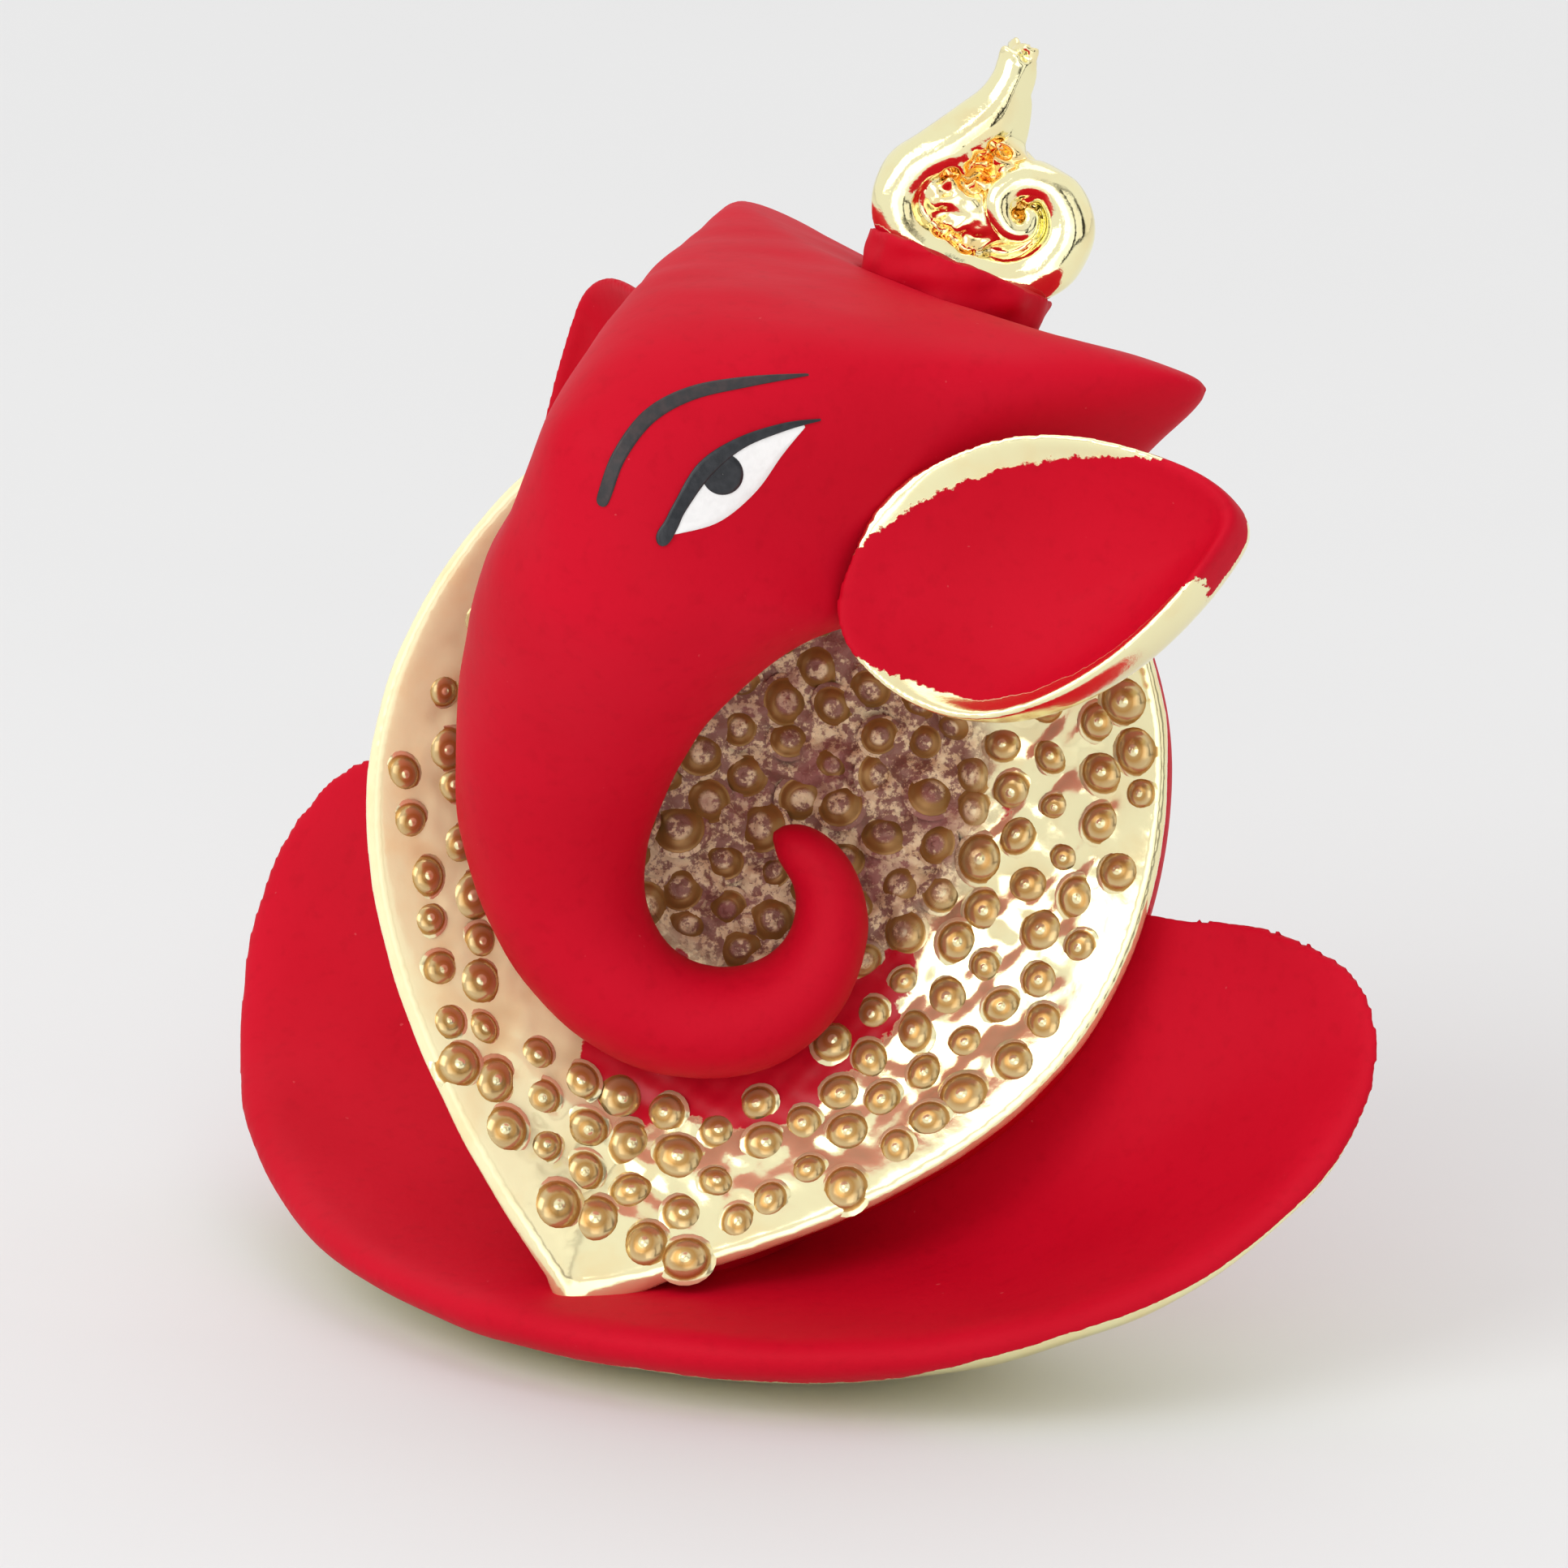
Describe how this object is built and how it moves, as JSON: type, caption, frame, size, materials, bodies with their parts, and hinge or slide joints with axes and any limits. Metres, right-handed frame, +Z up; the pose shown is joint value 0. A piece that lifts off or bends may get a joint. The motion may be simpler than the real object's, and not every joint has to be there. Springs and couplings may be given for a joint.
{
  "type": "ganesha_idol",
  "caption": "Small Ganesha tabletop idol with a matte red head and folded-leg dish, a beaded gold body leaf and a gold topknot.",
  "frame": {"origin": "Centre of the flat foot face under the dish.", "axes": "+Z up from the surface it stands on, -Y out of the figure's chest towards the viewer, +X to the viewer's right."},
  "size_m": [0.064, 0.0519, 0.0717],
  "materials": {
    "matte_red_paint": "matte red lacquer over a cast body",
    "gold_plate": "polished gold plating",
    "antique_gold": "dull gold with red paint showing in the hollows",
    "eye_white_paint": "hand-painted satin white",
    "eye_black_paint": "hand-painted satin black"
  },
  "bodies": {
    "root": {"base_dish": "matte_red_paint", "torso_back": "matte_red_paint", "chest_medallion": "gold_plate", "head_with_trunk": "matte_red_paint", "left_ear": "matte_red_paint", "right_ear": "matte_red_paint", "topknot_collar": "matte_red_paint", "topknot": "gold_plate", "pearls_hollow": "antique_gold", "pearls_left_flank": "gold_plate", "pearls_lower": "gold_plate", "pearls_right_flank": "gold_plate", "eye_whites": "eye_white_paint", "eye_pupils": "eye_black_paint", "eyelid_lines": "eye_black_paint", "eyebrows": "eye_black_paint"}
  },
  "joints": []
}
